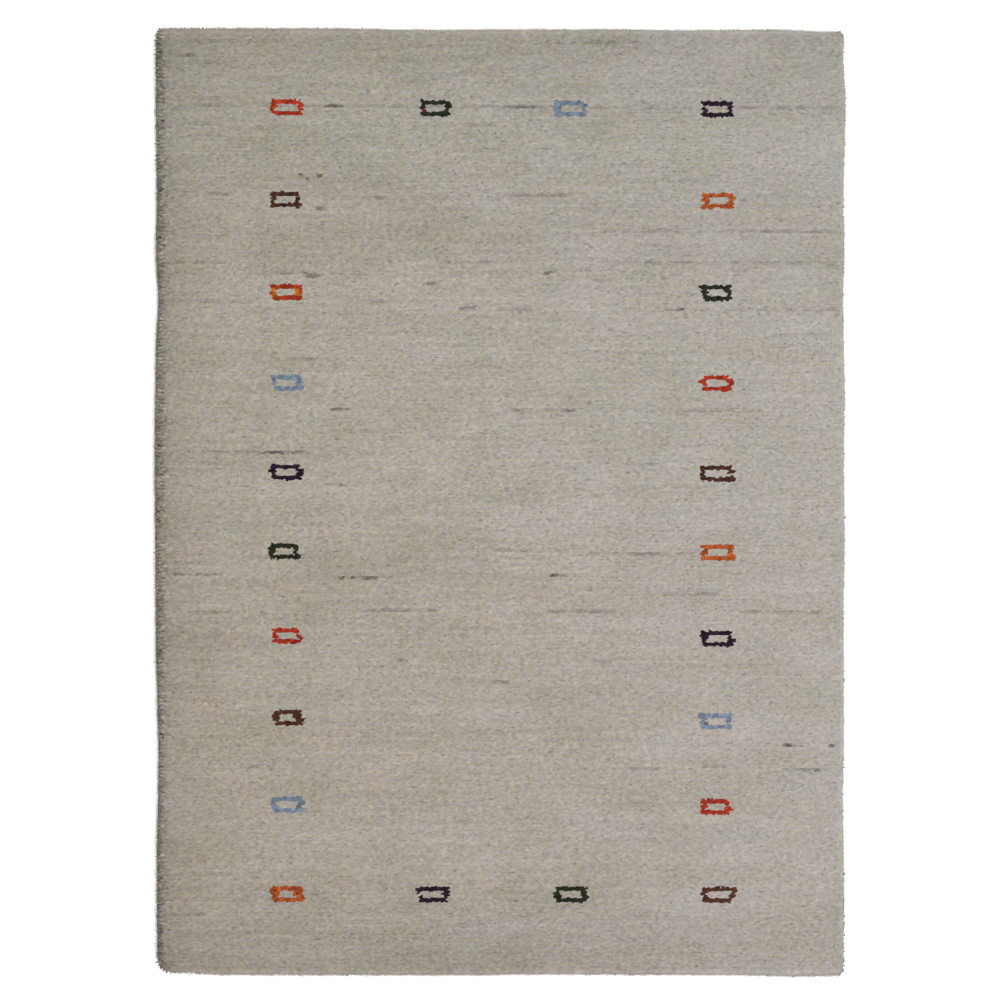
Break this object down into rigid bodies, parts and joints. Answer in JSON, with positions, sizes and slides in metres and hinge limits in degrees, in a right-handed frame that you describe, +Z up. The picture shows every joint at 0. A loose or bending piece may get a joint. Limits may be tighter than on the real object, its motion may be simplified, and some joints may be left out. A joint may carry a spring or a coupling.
{
  "type": "hand-knotted wool rug",
  "caption": "Flat rectangular hand-knotted wool rug with a short dense pile, softly rounded pile edges and small hollow rectangle motifs in a spaced border.",
  "frame": {"origin": "middle of the underside, at the bottom centre of the rug's box", "axes": "+Z up out of the pile, +Y along the rug's length, +X across its width"},
  "size_m": [1.2258, 1.68, 0.0155],
  "materials": {
    "wool_pile": "undyed beige heathered wool pile, matt, with single knot rows in darker wool and small dyed motifs"
  },
  "bodies": {
    "root": {"rug": "wool_pile"}
  },
  "joints": []
}
